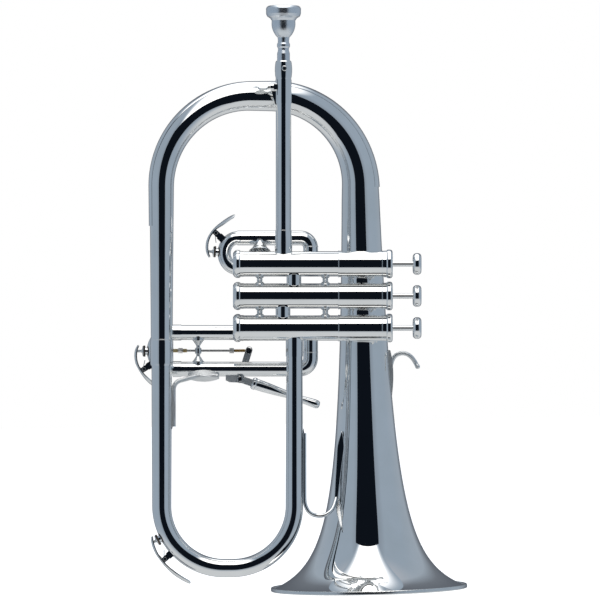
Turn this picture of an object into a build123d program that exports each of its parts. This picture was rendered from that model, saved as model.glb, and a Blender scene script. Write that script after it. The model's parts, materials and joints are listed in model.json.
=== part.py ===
from build123d import *
import os
from math import cos, exp, radians, sin, sqrt

# A three-valve flugelhorn standing on its bell, in millimetres.
# The origin is the centre of the bell's mouth, and the bell's axis is +Z. The valves lie side by
# side with their buttons towards +X. The valve cluster leans a little from the bell, so places are
# given along the valves (x), across them (z) and in depth (y), and spot() turns them into points.

os.makedirs("parts", exist_ok=True)

# ---- driving dimensions ----

LEAN = 1.25                      # degrees between the bell's axis and the cross direction of the valves
VALVE_Y = -31.0                  # depth of the valves, the leadpipe and the lower bow
SLIDE_Y = -14.3                  # depth of the first and third slides, behind the valves
FIT = 0.02                       # radial clearance of a running tube or piston

RIM_RADIUS = 76.2
RIM_HEIGHT = 3.0
RIM_WIDTH = 2.4
FLARE_SCALE = 349.0              # bell radius = scale * (height + shift) ** -power
FLARE_SHIFT = 15.0
FLARE_POWER = 0.55
FLARE_TOP = 302.0                # height where the flare hands over to the top bow
BELL_WALL = 0.6

TOP_BOW_Z = 381.5                # centreline of the top bow
TOP_BOW_ROUND = 70.0
TAPER_END = 7.0                  # bow radius = end + drop * exp(-distance / length)
TAPER_DROP = 7.45
TAPER_LENGTH = 215.0
LEFT_X = -160.0                  # straight tube on the far side from the buttons
JOINT_Z = 184.0                  # where the top bow meets the bottom bow

BOTTOM_BOW_Z = 18.1
BOTTOM_BOW_ROUND = 48.0
BOTTOM_BOW_RADII = (7.9, 6.1)    # tube radius at its left end and at its leg
LEG_X = -57.9
TUBE_WALL = 0.55

VALVE_PITCH = 24.65
VALVE_Z = [227.5 + VALVE_PITCH, 227.5, 227.5 - VALVE_PITCH]
CASING_RADIUS = 9.7
CASING_BORE = 8.52
CASING_SPAN = (-101.0, 11.5)
UPPER_SLEEVE_START = -24.0
UPPER_SLEEVE_RADIUS = 10.1
PISTON_RADIUS = CASING_BORE - FIT
PISTON_SPAN = (-78.0, -25.0)
BARREL_TOP = 7.0
GUIDE_X = -21.0                  # valve guide held in the casing
STEM_RADIUS = 2.05
CAP_SPAN = (11.5, 17.6)
CAP_RADIUS = 11.0
CAP_NECK_RADIUS = 10.2
CAP_BEAD_START = 12.7
BUTTON_SPAN = (33.2, 39.8)
BUTTON_RADIUS = 8.3
PEARL_RADIUS = 5.2
STROKE = 14.5
PORT_RADIUS = 5.1
INLET_X = -66.3                  # port under the leadpipe
PORTS_ABOVE = [INLET_X, -58.3, -66.7]
PORTS_BELOW = [-58.3, -66.7, LEG_X]

LEADPIPE_X = INLET_X
SLEEVE_RADIUS = 5.9
MOUTHPIPE_RADIUS = 5.38
SLEEVE_TOP = 394.0
MOUTHPIPE_BOTTOM = 300.0
RECEIVER_TOP = 408.5

LEG_RADIUS = 5.65                # outer legs of the valve slides
LEG_BORE = 5.12
CROOK_RADIUS = LEG_BORE - FIT
CROOK_BORE = 4.6
FIRST_Z = (272.3, 249.0)
FIRST_BEND_X = -102.1
FIRST_BEND_DEPTH = 10.1          # the first crook is a little flattened
THIRD_Z = (199.2, 171.0)
THIRD_BEND_X = -152.8
ELBOW_X = -45.4
REAR_PORT_X = -59.5
SECOND_X = (-64.5, -44.5)
SECOND_END_Y = 5.0

PIVOT = (-100.0, 163.2)          # trigger lever pivot
LEVER_Y = -6.1
HANDLE_Y = -3.4
ROD_Z = 185.2
ROD_Y = -9.0

# ---- directions and planes ----

RIGHT = Vector(cos(radians(LEAN)), 0, -sin(radians(LEAN)))
UP = Vector(sin(radians(LEAN)), 0, cos(radians(LEAN)))
BACK = Vector(0, 1, 0)


def spot(x, z, y=VALVE_Y):
    return RIGHT * x + UP * z + BACK * y


def across(x, z=0.0, y=VALVE_Y):
    """Plane square to the valves at x: local x is depth, local y is up."""
    return Plane(origin=spot(x, z, y), x_dir=BACK, z_dir=RIGHT)


def level(x, z, y=VALVE_Y):
    """Plane square to the leadpipe at height z: local x is right, local y is depth."""
    return Plane(origin=spot(x, z, y), x_dir=RIGHT, z_dir=UP)


def upright(x=0.0, z=0.0, y=VALVE_Y):
    """Plane facing the player's right hand side: local x is right, local y is up."""
    return Plane(origin=spot(x, z, y), x_dir=RIGHT, z_dir=BACK * -1)


def depthwise(x, z, y):
    """Plane square to the depth direction with its normal to the back."""
    return Plane(origin=spot(x, z, y), x_dir=RIGHT * -1, z_dir=BACK)


def radial(centre, angle, distance, y):
    """Plane whose normal leaves a bend's centre at an angle: local x is depth."""
    out = RIGHT * cos(radians(angle)) + UP * sin(radians(angle))
    origin = spot(centre[0], centre[1], y) + out * distance
    return Plane(origin=origin, x_dir=BACK, z_dir=out)


def polar(centre, angle, distance):
    return (centre[0] + distance * cos(radians(angle)), centre[1] + distance * sin(radians(angle)))


def save(piece, name):
    piece.label = name
    export_step(piece, f"parts/{name}.step")


# ---- shared shapes ----

def round_bar(start, end, radius, bore=0.0):
    """Straight bar or tube between two points."""
    with BuildPart() as bar:
        with BuildSketch(Plane(origin=start, z_dir=end - start)):
            Circle(radius)
            if bore:
                Circle(bore, mode=Mode.SUBTRACT)
        extrude(amount=(end - start).length)
    return bar.part


def bent_bar(points, bend, radius, bore=0.0):
    """Bar or tube along straight runs joined by round bends."""
    with BuildPart() as bar:
        with BuildLine() as route:
            FilletPolyline(*points, radius=bend)
        with BuildSketch(Plane(origin=route.wire() @ 0, z_dir=route.wire() % 0)):
            Circle(radius)
            if bore:
                Circle(bore, mode=Mode.SUBTRACT)
        sweep()
    return bar.part


def turned(plane, axis, outline):
    """Solid turned from a closed outline of (radius, height) points."""
    with BuildPart() as body:
        with BuildSketch(plane):
            with BuildLine():
                Polyline(*outline, close=True)
            make_face()
        revolve(axis=axis)
    return body.part


def frame_at(route, share):
    """Plane across a route, its local x pointing away from the inside of the bend."""
    tangent = route % share
    return Plane(origin=route @ share, x_dir=BACK.cross(tangent).normalized(), z_dir=tangent)


def tapered(route, radius_at, trim=0.0, count=8):
    """Bar whose radius changes along a route."""
    with BuildPart() as body:
        with BuildLine():
            add(route)
        for step in range(count + 1):
            with BuildSketch(frame_at(route, step / count)):
                Circle(radius_at(step / count * route.length) - trim)
        sweep(multisection=True)
    return body.part


# ---- bell, rim and top bow ----

def flare_radius(height):
    return FLARE_SCALE * (height + FLARE_SHIFT) ** -FLARE_POWER


def flare_point(height, depth=0.0):
    """Point of the flare's profile, moved square to the surface into the wall."""
    radius = flare_radius(height)
    slope = -FLARE_POWER * radius / (height + FLARE_SHIFT)
    length = sqrt(1 + slope * slope)
    return (radius - depth / length, height + depth * slope / length)


def flare_solid(depth):
    """Solid bounded by the flare, from the rim's bore to the top bow."""
    low = (FLARE_SCALE / (RIM_RADIUS - RIM_WIDTH)) ** (1 / FLARE_POWER) - FLARE_SHIFT
    heights = [low, 4, 8, 14, 24, 42, 70, 110, 165, 230, FLARE_TOP]
    edge = [flare_point(height, depth) for height in heights]
    with BuildPart() as body:
        with BuildSketch(Plane.XZ):
            with BuildLine():
                Spline(*edge)
                Polyline(edge[-1], (0, edge[-1][1]), (0, edge[0][1]), edge[0])
            make_face()
        revolve(axis=Axis.Z)
    return body.part


def bow_radius(distance):
    return TAPER_END + TAPER_DROP * exp(-distance / TAPER_LENGTH)


def top_bow_route(start_z, end_z):
    with BuildLine() as route:
        FilletPolyline(
            Vector(0, 0, start_z),
            Vector(0, 0, TOP_BOW_Z + 0.3),
            spot(LEFT_X, TOP_BOW_Z),
            spot(LEFT_X, end_z),
            radius=TOP_BOW_ROUND,
        )
    return route.wire()


top_route = top_bow_route(FLARE_TOP, JOINT_Z + 0.1)
bell_space = flare_solid(0) + tapered(top_route, bow_radius)

with BuildPart() as bell:
    add(bell_space)
    add(flare_solid(BELL_WALL), mode=Mode.SUBTRACT)
    add(tapered(top_route, bow_radius, BELL_WALL), mode=Mode.SUBTRACT)
save(bell.part, "bell")

with BuildPart() as bell_rim:
    with BuildSketch(Plane.XZ):
        with Locations((RIM_RADIUS - RIM_WIDTH / 2, RIM_HEIGHT / 2)):
            RectangleRounded(RIM_WIDTH, RIM_HEIGHT, 0.75)
    revolve(axis=Axis.Z)
save(bell_rim.part, "bell_rim")

GUARD_REACH = 38.0               # half of the tube's turn that the guard covers, in degrees
GUARD_THICK = 0.8


GUARD_SPAN = (312.0, 281.5)      # heights where the guard starts and ends
GUARD_SECTIONS = 10

guard_route = top_bow_route(*GUARD_SPAN)
with BuildPart() as top_bow_guard:
    with BuildLine():
        add(guard_route)
    for step in range(GUARD_SECTIONS + 1):
        share = step / GUARD_SECTIONS
        inner = bow_radius(GUARD_SPAN[0] - FLARE_TOP + share * guard_route.length) + 0.03
        outer = inner + GUARD_THICK
        side_x = cos(radians(GUARD_REACH))
        side_y = sin(radians(GUARD_REACH))
        inner_ends = [(inner * side_x, -inner * side_y), (inner * side_x, inner * side_y)]
        outer_ends = [(outer * side_x, -outer * side_y), (outer * side_x, outer * side_y)]
        with BuildSketch(frame_at(guard_route, share)):
            with BuildLine():
                ThreePointArc(inner_ends[0], (inner, 0), inner_ends[1])
                Line(inner_ends[1], outer_ends[1])
                ThreePointArc(outer_ends[1], (outer, 0), outer_ends[0])
                Line(outer_ends[0], inner_ends[0])
            make_face()
    sweep(multisection=True)
save(top_bow_guard.part, "top_bow_guard")

# ---- bottom bow with its ferrules ----

bottom_points = [
    spot(LEFT_X, JOINT_Z - 0.1),
    spot(LEFT_X, BOTTOM_BOW_Z),
    spot(LEG_X, BOTTOM_BOW_Z),
    spot(LEG_X, VALVE_Z[2]),
]
with BuildLine() as bottom_route:
    FilletPolyline(*bottom_points, radius=BOTTOM_BOW_ROUND)
bottom_wire = bottom_route.wire()


def bottom_radius(distance):
    share = distance / bottom_wire.length
    return BOTTOM_BOW_RADII[0] + (BOTTOM_BOW_RADII[1] - BOTTOM_BOW_RADII[0]) * share


bottom_space = tapered(bottom_wire, bottom_radius)

with BuildPart() as casing_space:
    for z in VALVE_Z:
        with BuildSketch(across(CASING_SPAN[0], z)):
            Circle(CASING_RADIUS)
        extrude(amount=CASING_SPAN[1] - CASING_SPAN[0])

with BuildPart() as bottom_bow:
    add(bottom_space)
    add(tapered(bottom_wire, bottom_radius, TUBE_WALL), mode=Mode.SUBTRACT)
    add(casing_space.part, mode=Mode.SUBTRACT)
save(bottom_bow.part, "bottom_bow")

BELL_END = bow_radius(top_route.length) + 0.02
BOW_END = BOTTOM_BOW_RADII[0] + 0.02
with BuildPart() as bow_ferrule:
    with BuildSketch(upright(LEFT_X, JOINT_Z)):
        with BuildLine():
            Polyline(
                (BOW_END, -10), (8.6, -10), (8.9, -8.6), (8.9, 8.6), (8.7, 9.6),
                (BELL_END + 0.12, 9.6), (BELL_END, 0.1), (BOW_END, 0.1), close=True,
            )
        make_face()
    revolve(axis=Axis(spot(LEFT_X, 0), UP))
save(bow_ferrule.part, "bow_ferrule")

LEG_END = 6.28
with BuildPart() as outlet_ferrule:
    with BuildSketch(level(LEG_X, 181)):
        Circle(6.6)
        Circle(LEG_END, mode=Mode.SUBTRACT)
    extrude(amount=16)
    chamfer(outlet_ferrule.edges().group_by(Axis.Z)[0], 0.12)
    add(casing_space.part, mode=Mode.SUBTRACT)
save(outlet_ferrule.part, "outlet_ferrule")

# ---- valve casings, caps and the tubes between them ----

port_bars = []
for index, z in enumerate(VALVE_Z):
    port_bars.append(round_bar(spot(PORTS_ABOVE[index], z), spot(PORTS_ABOVE[index], z + 12), PORT_RADIUS))
    port_bars.append(round_bar(spot(PORTS_BELOW[index], z - 12), spot(PORTS_BELOW[index], z), PORT_RADIUS))

first_elbow_axis = [
    spot(-54, FIRST_Z[0], SLIDE_Y),
    spot(ELBOW_X, FIRST_Z[0], SLIDE_Y),
    spot(ELBOW_X, VALVE_Z[0] + 2, SLIDE_Y),
    spot(ELBOW_X, VALVE_Z[0] + 2),
]
first_rear_axis = [
    spot(-75, FIRST_Z[1], SLIDE_Y),
    spot(REAR_PORT_X, FIRST_Z[1], SLIDE_Y),
    spot(REAR_PORT_X, VALVE_Z[0]),
]
third_rear_axis = [
    spot(-75, THIRD_Z[0], SLIDE_Y),
    spot(REAR_PORT_X, THIRD_Z[0], SLIDE_Y),
    spot(REAR_PORT_X, VALVE_Z[2]),
]
third_elbow_axis = [
    spot(-54, THIRD_Z[1], SLIDE_Y),
    spot(ELBOW_X, THIRD_Z[1], SLIDE_Y),
    spot(ELBOW_X, VALVE_Z[2], SLIDE_Y),
    spot(ELBOW_X, VALVE_Z[2]),
]
for axis_points in (first_elbow_axis, first_rear_axis, third_rear_axis, third_elbow_axis):
    port_bars.append(round_bar(axis_points[-2], axis_points[-1], CROOK_BORE))
for x in SECOND_X:
    port_bars.append(round_bar(spot(x, VALVE_Z[1]), spot(x, VALVE_Z[1], 0), CROOK_BORE))

for number, z in enumerate(VALVE_Z, start=1):
    with BuildPart() as valve_casing:
        with BuildSketch(across(CASING_SPAN[0], z)):
            Circle(CASING_RADIUS)
        extrude(amount=CASING_SPAN[1] - CASING_SPAN[0])
        with BuildSketch(across(CASING_SPAN[0], z)):
            Circle(CASING_RADIUS + 0.2)
        extrude(amount=4)
        with BuildSketch(across(CASING_SPAN[0], z)):
            Circle(CASING_BORE)
        extrude(amount=CASING_SPAN[1] - CASING_SPAN[0], mode=Mode.SUBTRACT)
        for bar in port_bars:
            add(bar, mode=Mode.SUBTRACT)
    save(valve_casing.part, f"valve_casing_{number}")

with BuildPart() as upper_sleeves:
    for z in VALVE_Z:
        with BuildSketch(across(UPPER_SLEEVE_START, z)):
            Circle(UPPER_SLEEVE_RADIUS)
            Circle(CASING_RADIUS, mode=Mode.SUBTRACT)
        extrude(amount=CASING_SPAN[1] - UPPER_SLEEVE_START)
save(upper_sleeves.part, "upper_sleeves")

with BuildPart() as valve_guides:
    for z in VALVE_Z:
        with BuildSketch(across(GUIDE_X - 1, z)):
            Circle(4.4)
            Circle(STEM_RADIUS + 0.3, mode=Mode.SUBTRACT)
        extrude(amount=2)
        with BuildSketch(across(GUIDE_X - 1, z)):
            with Locations((5.85, 0), (-5.85, 0)):
                Rectangle(5.1, 2.4)
        extrude(amount=2)
save(valve_guides.part, "valve_guides")

for number, z in enumerate(VALVE_Z, start=1):
    with BuildPart() as top_cap:
        with BuildSketch(across(CAP_BEAD_START, z)):
            Circle(CAP_RADIUS)
        extrude(amount=CAP_SPAN[1] - CAP_BEAD_START)
        fillet(top_cap.edges().group_by(Axis(spot(0, 0), RIGHT))[-1], 1.9)
        fillet(top_cap.edges().group_by(Axis(spot(0, 0), RIGHT))[0], 1.6)
        with BuildSketch(across(CAP_SPAN[0], z)):
            Circle(CAP_NECK_RADIUS)
        extrude(amount=CAP_BEAD_START + 1.5 - CAP_SPAN[0])
        with BuildSketch(across(CAP_SPAN[0] + 1.2, z)):
            Circle(8.2)
            Circle(4.2, mode=Mode.SUBTRACT)
        extrude(amount=-1.2, mode=Mode.SUBTRACT)
        with BuildSketch(across(CAP_SPAN[0], z)):
            Circle(STEM_RADIUS + 0.06)
        extrude(amount=CAP_SPAN[1] - CAP_SPAN[0], mode=Mode.SUBTRACT)
        with BuildSketch(across(CAP_SPAN[1], z)):
            Circle(6.0)
            Circle(4.4, mode=Mode.SUBTRACT)
        extrude(amount=-0.6, mode=Mode.SUBTRACT)
    save(top_cap.part, f"top_cap_{number}")

with BuildPart() as bottom_caps:
    for z in VALVE_Z:
        with BuildSketch(upright(CASING_SPAN[0], z)):
            with BuildLine():
                Polyline((-2, 2.2), (-2, 8.6), (0, 8.6), (0, 9.95), (1.4, 9.95), (1.4, 10.4))
                ThreePointArc((1.4, 10.4), (-0.9, 10.8), (-3.1, 9.8))
                Line((-3.1, 9.8), (-4.1, 8.4))
                Line((-4.1, 8.4), (-4.1, 2.2))
                Line((-4.1, 2.2), (-2, 2.2))
            make_face()
        revolve(axis=Axis(spot(0, z), RIGHT))
save(bottom_caps.part, "bottom_caps")

with BuildPart() as crossovers:
    for index in (0, 1):
        with BuildSketch(level(PORTS_BELOW[index], VALVE_Z[index + 1])):
            Circle(LEG_RADIUS)
            Circle(PORT_RADIUS, mode=Mode.SUBTRACT)
        extrude(amount=VALVE_PITCH)
    add(casing_space.part, mode=Mode.SUBTRACT)
save(crossovers.part, "crossovers")

POST_XS = (-84.6, -34.1)
with BuildPart() as casing_posts:
    for index in (0, 1):
        for x in POST_XS:
            with BuildSketch(upright(x, VALVE_Z[index] - VALVE_PITCH / 2)):
                with BuildLine():
                    Polyline((0, -4), (3.7, -4), (3.7, -3.0), (3.3, -2.3), (1.9, -1.0), (2.3, 0), (1.9, 1.0),
                             (3.3, 2.3), (3.7, 3.0), (3.7, 4), (0, 4), close=True)
                make_face()
            revolve(axis=Axis(spot(x, 0), UP))
    add(casing_space.part, mode=Mode.SUBTRACT)
save(casing_posts.part, "casing_posts")

# ---- pistons, stems and springs ----

for number, z in enumerate(VALVE_Z, start=1):
    through_start = spot(PORTS_ABOVE[number - 1], z + PISTON_RADIUS + 2)
    through_end = spot(PORTS_BELOW[number - 1], z - PISTON_RADIUS - 2)
    liner = round_bar(through_start, through_end, PORT_RADIUS - 0.1)
    liner_bore = round_bar(through_start, through_end, PORT_RADIUS - 0.6)
    with BuildPart() as piston_envelope:
        with BuildSketch(across(PISTON_SPAN[0], z)):
            Circle(PISTON_RADIUS)
        extrude(amount=PISTON_SPAN[1] - PISTON_SPAN[0])
    with BuildPart() as piston:
        add(piston_envelope.part)
        with BuildSketch(across(PISTON_SPAN[0] + 1, z)):
            Circle(PISTON_RADIUS - 0.7)
        extrude(amount=PISTON_SPAN[1] - PISTON_SPAN[0] - 2, mode=Mode.SUBTRACT)
        add(liner & piston_envelope.part)
        add(liner_bore, mode=Mode.SUBTRACT)
        # spring barrel, slotted for the guide over the whole stroke
        with BuildSketch(across(PISTON_SPAN[1], z)):
            Circle(PISTON_RADIUS - 0.3)
            Circle(PISTON_RADIUS - 1.0, mode=Mode.SUBTRACT)
        extrude(amount=BARREL_TOP - PISTON_SPAN[1])
        with BuildSketch(across(BARREL_TOP - 1.5, z)):
            Circle(PISTON_RADIUS - 0.3)
            Circle(STEM_RADIUS, mode=Mode.SUBTRACT)
        extrude(amount=1.5)
        with BuildSketch(across(GUIDE_X - 1.2, z)):
            with Locations((7, 0), (-7, 0)):
                Rectangle(6, 2.8)
        extrude(amount=STROKE + 2.4, mode=Mode.SUBTRACT)
    save(piston.part, f"piston_{number}")

    with BuildPart() as stem:
        with BuildSketch(across(BARREL_TOP - 1.5, z)):
            Circle(STEM_RADIUS)
        extrude(amount=BUTTON_SPAN[0] - BARREL_TOP + 1.5)
        with BuildSketch(across(BUTTON_SPAN[0], z)):
            Circle(BUTTON_RADIUS)
        extrude(amount=BUTTON_SPAN[1] - BUTTON_SPAN[0])
        fillet(stem.edges().filter_by(GeomType.CIRCLE).filter_by(lambda edge: edge.radius > 8), 2.7)
        with BuildSketch(across(BUTTON_SPAN[1], z)):
            Circle(PEARL_RADIUS)
        extrude(amount=-0.8, mode=Mode.SUBTRACT)
    save(stem.part, f"button_{number}")

    spring_length = BARREL_TOP - 1.5 - (GUIDE_X + 1) - 1.3
    with BuildPart() as spring:
        with BuildLine() as coil:
            Helix(pitch=spring_length / 6, height=spring_length, radius=5.6,
                  center=spot(GUIDE_X + 1.65, z), direction=RIGHT)
        with BuildSketch(Plane(origin=coil.wire() @ 0, z_dir=coil.wire() % 0)):
            Circle(0.45)
        sweep()
    save(spring.part, f"spring_{number}")

# ---- leadpipe, mouthpipe and mouthpiece ----

LEADPIPE_AXIS = Axis(spot(LEADPIPE_X, 0), UP)
LEADPIPE_PLANE = upright(LEADPIPE_X)

with BuildPart() as leadpipe_sleeve:
    with BuildSketch(level(LEADPIPE_X, VALVE_Z[0])):
        Circle(SLEEVE_RADIUS)
        Circle(MOUTHPIPE_RADIUS + FIT, mode=Mode.SUBTRACT)
    extrude(amount=SLEEVE_TOP - VALVE_Z[0])
    add(casing_space.part, mode=Mode.SUBTRACT)
save(leadpipe_sleeve.part, "leadpipe_sleeve")

with BuildPart() as leadpipe_ferrule:
    with BuildSketch(LEADPIPE_PLANE):
        with BuildLine():
            ThreePointArc((6.2, 258), (6.7, 268), (6.2, 277.7))
            Polyline((6.2, 277.7), (SLEEVE_RADIUS, 277.7), (SLEEVE_RADIUS, 258), (6.2, 258))
        make_face()
    revolve(axis=LEADPIPE_AXIS)
    add(casing_space.part, mode=Mode.SUBTRACT)
save(leadpipe_ferrule.part, "leadpipe_ferrule")

CLAMP_Z = 388.3
with BuildPart() as clamp_collar:
    with BuildSketch(level(LEADPIPE_X, 375.6)):
        Circle(SLEEVE_RADIUS + 0.3)
    extrude(amount=SLEEVE_TOP - 375.6)
    with BuildSketch(across(LEADPIPE_X - SLEEVE_RADIUS + 1, CLAMP_Z, VALVE_Y - 1.0)):
        Circle(3.5)
    extrude(amount=-5.2)
    with BuildSketch(upright(LEADPIPE_X, 0, VALVE_Y + 0.3)):
        Polygon((-5.5, 374.5), (-6.4, 375), (-9.3, 385.5), (-9.3, 388), (-5.5, 388), align=None)
    extrude(amount=2.6)
    with BuildSketch(level(LEADPIPE_X, 370)):
        Circle(SLEEVE_RADIUS)
    extrude(amount=30, mode=Mode.SUBTRACT)
    with BuildSketch(across(LEADPIPE_X - SLEEVE_RADIUS - 1, CLAMP_Z, VALVE_Y - 1.0)):
        Circle(1.35)
    extrude(amount=-6, mode=Mode.SUBTRACT)
    with BuildSketch(level(LEADPIPE_X - 5, 382, VALVE_Y - 4.2)):
        Rectangle(5, 0.8)
    extrude(amount=14, mode=Mode.SUBTRACT)
save(clamp_collar.part, "clamp_collar")

SCREW_X = LEADPIPE_X - SLEEVE_RADIUS - 4.4
with BuildPart() as clamp_screw:
    with BuildSketch(across(SCREW_X + 3.4, CLAMP_Z, VALVE_Y - 1.0)):
        Circle(1.3)
    extrude(amount=-4.4)
    with BuildSketch(across(SCREW_X - 0.2, CLAMP_Z, VALVE_Y - 1.0)):
        Circle(2.2)
    extrude(amount=-1.6)
    with BuildSketch(level(SCREW_X - 5.4, CLAMP_Z - 0.9, VALVE_Y - 1.0)):
        SlotOverall(8.6, 7.4)
    extrude(amount=1.8, taper=8)
clamp_screw_turned = clamp_screw.part.rotate(Axis(spot(SCREW_X, CLAMP_Z, VALVE_Y - 1.0), RIGHT), 32)
save(clamp_screw_turned, "clamp_screw")

save(
    turned(LEADPIPE_PLANE, LEADPIPE_AXIS, [
        (MOUTHPIPE_RADIUS, MOUTHPIPE_BOTTOM), (MOUTHPIPE_RADIUS, SLEEVE_TOP),
        (4.75, SLEEVE_TOP), (4.75, MOUTHPIPE_BOTTOM),
    ]),
    "mouthpipe",
)

with BuildPart() as receiver:
    with BuildSketch(LEADPIPE_PLANE):
        with BuildLine():
            Line((4.62, SLEEVE_TOP), (5.8, SLEEVE_TOP))
            ThreePointArc((5.8, SLEEVE_TOP), (6.65, 401), (6.1, 407.6))
            Line((6.1, 407.6), (5.5, RECEIVER_TOP))
            Line((5.5, RECEIVER_TOP), (4.97, RECEIVER_TOP))
            Line((4.97, RECEIVER_TOP), (4.62, SLEEVE_TOP))
        make_face()
    revolve(axis=LEADPIPE_AXIS)
    with BuildSketch(upright(LEADPIPE_X + 0.8, 402.4, VALVE_Y - 5.6)):
        Circle(2.1)
    extrude(amount=2.2)
    fillet(receiver.edges().filter_by(GeomType.CIRCLE).sort_by(Axis.Y)[0], 0.6)
save(receiver.part, "receiver")

with BuildPart() as mouthpiece:
    with BuildSketch(LEADPIPE_PLANE):
        with BuildLine():
            # backbore, throat and deep cup
            Polyline((3.9, 385.2), (2.1, 423.5), (2.3, 426.5))
            ThreePointArc((2.3, 426.5), (5.6, 438.5), (8.2, 447.2))
            # rim
            Spline((8.2, 447.2), (9.2, 450.0), (10.9, 450.8), (12.7, 449.9), (13.4, 447.4))
            Polyline((13.4, 447.4), (13.4, 444.6), (12.6, 442.6), (10.4, 441.2), (9.1, 439.4), (9.1, 438.4))
            # cup wall, neck and shank
            Spline((9.1, 438.4), (8.7, 433.4), (6.6, 428.8), (4.6, 426.4))
            Polyline((4.6, 426.4), (4.3, 424.0), (4.4, 422.4), (5.0, 421.2), (5.0, 419.4), (4.3, 418.2),
                     (4.2, 416.6), (4.9, 414.0), (4.9, RECEIVER_TOP), (4.31, 385.2), (3.9, 385.2))
        make_face()
    revolve(axis=LEADPIPE_AXIS)
save(mouthpiece.part, "mouthpiece")

# ---- first slide ----


def slide_crook(bend_x, depth, heights, inner_ends, y, bore=CROOK_BORE):
    """Inner legs joined by a half round bend of the given depth."""
    middle = (heights[0] + heights[1]) / 2
    reach = (heights[0] - heights[1]) / 2
    with BuildPart() as crook:
        with BuildLine(upright(y=y)) as route:
            Line((inner_ends[0], heights[0]), (bend_x, heights[0]))
            EllipticalCenterArc((bend_x, middle), depth, reach, start_angle=90, arc_size=180)
            Line((bend_x, heights[1]), (inner_ends[1], heights[1]))
        start = route.wire() @ 0
        heading = RIGHT if (route.wire() % 0).X > 0 else RIGHT * -1
        with BuildSketch(Plane(origin=start, z_dir=heading)):
            Circle(CROOK_RADIUS)
            if bore:
                Circle(bore, mode=Mode.SUBTRACT)
        sweep()
    return crook.part


FIRST_JOINT_X = -102.0
first_upper = bent_bar([spot(FIRST_JOINT_X, FIRST_Z[0], SLIDE_Y), *first_elbow_axis[1:]], 7.6,
                       LEG_RADIUS, LEG_BORE)
first_lower = bent_bar([spot(FIRST_JOINT_X, FIRST_Z[1], SLIDE_Y), *first_rear_axis[1:]], 7.0,
                       LEG_RADIUS, LEG_BORE)
with BuildPart() as slide_1_sleeves:
    add(first_upper)
    add(first_lower)
    add(casing_space.part, mode=Mode.SUBTRACT)
save(slide_1_sleeves.part, "slide_1_sleeves")

FIRST_INNER_ENDS = (-63.0, -70.0)
save(slide_crook(FIRST_BEND_X, FIRST_BEND_DEPTH, FIRST_Z, FIRST_INNER_ENDS, SLIDE_Y), "slide_1_crook")

with BuildPart() as slide_1_brace:
    with BuildSketch(upright(POST_XS[0], FIRST_Z[0] - 8, SLIDE_Y)):
        with BuildLine():
            Polyline((0, -8), (4.4, -8), (4.4, -6.4), (2.6, -3.6), (2.6, 1.4), (4.6, 4.6), (0, 4.6), close=True)
        make_face()
    revolve(axis=Axis(spot(POST_XS[0], FIRST_Z[0], SLIDE_Y), UP * cos(radians(30)) + BACK * sin(radians(30))))
    add(casing_space.part, mode=Mode.SUBTRACT)
    add(round_bar(spot(-110, FIRST_Z[0], SLIDE_Y), spot(-50, FIRST_Z[0], SLIDE_Y), LEG_RADIUS),
        mode=Mode.SUBTRACT)
    add(round_bar(spot(-110, FIRST_Z[1], SLIDE_Y), spot(-50, FIRST_Z[1], SLIDE_Y), LEG_RADIUS),
        mode=Mode.SUBTRACT)

# ---- second slide, on the far side ----

with BuildPart() as slide_2_sleeves:
    for x in SECOND_X:
        with BuildSketch(depthwise(x, VALVE_Z[1], VALVE_Y)):
            Circle(LEG_RADIUS)
            Circle(LEG_BORE, mode=Mode.SUBTRACT)
        extrude(amount=SECOND_END_Y - VALVE_Y)
    add(casing_space.part, mode=Mode.SUBTRACT)
save(slide_2_sleeves.part, "slide_2_sleeves")

second_middle = (SECOND_X[0] + SECOND_X[1]) / 2
second_reach = (SECOND_X[1] - SECOND_X[0]) / 2
with BuildPart() as slide_2_crook:
    with BuildLine() as second_route:
        Line(spot(SECOND_X[0], VALVE_Z[1], -19), spot(SECOND_X[0], VALVE_Z[1], SECOND_END_Y + 0.2))
        ThreePointArc(
            spot(SECOND_X[0], VALVE_Z[1], SECOND_END_Y + 0.2),
            spot(second_middle, VALVE_Z[1], SECOND_END_Y + 0.2 + second_reach),
            spot(SECOND_X[1], VALVE_Z[1], SECOND_END_Y + 0.2),
        )
        Line(spot(SECOND_X[1], VALVE_Z[1], SECOND_END_Y + 0.2), spot(SECOND_X[1], VALVE_Z[1], -19))
    with BuildSketch(Plane(origin=second_route.wire() @ 0, z_dir=second_route.wire() % 0)):
        Circle(CROOK_RADIUS)
        Circle(CROOK_BORE, mode=Mode.SUBTRACT)
    sweep()
save(slide_2_crook.part, "slide_2_crook")

KNOB_Y = SECOND_END_Y + 0.2 + second_reach + CROOK_RADIUS - 0.5
with BuildPart() as slide_2_knob:
    with BuildSketch(Plane(origin=spot(second_middle, VALVE_Z[1], KNOB_Y), x_dir=RIGHT, z_dir=UP)):
        with BuildLine():
            Polyline((0, 0), (2.6, 0), (1.6, 1.6), (1.7, 3.0), (3.4, 4.2), (3.8, 5.6), (3.2, 7.2), (0, 7.8),
                     close=True)
        make_face()
    revolve(axis=Axis(spot(second_middle, VALVE_Z[1], 0), BACK))
    add(slide_2_crook.part, mode=Mode.SUBTRACT)
save(slide_2_knob.part, "slide_2_knob")

# ---- third slide ----

THIRD_JOINT_X = -152.0
third_upper = bent_bar([spot(THIRD_JOINT_X, THIRD_Z[0], SLIDE_Y), *third_rear_axis[1:]], 7.0,
                       LEG_RADIUS, LEG_BORE)
third_lower = bent_bar([spot(THIRD_JOINT_X, THIRD_Z[1], SLIDE_Y), *third_elbow_axis[1:]], 8.4,
                       LEG_RADIUS, LEG_BORE)
with BuildPart() as slide_3_sleeves:
    add(third_upper)
    add(third_lower)
    add(casing_space.part, mode=Mode.SUBTRACT)
save(slide_3_sleeves.part, "slide_3_sleeves")

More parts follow.
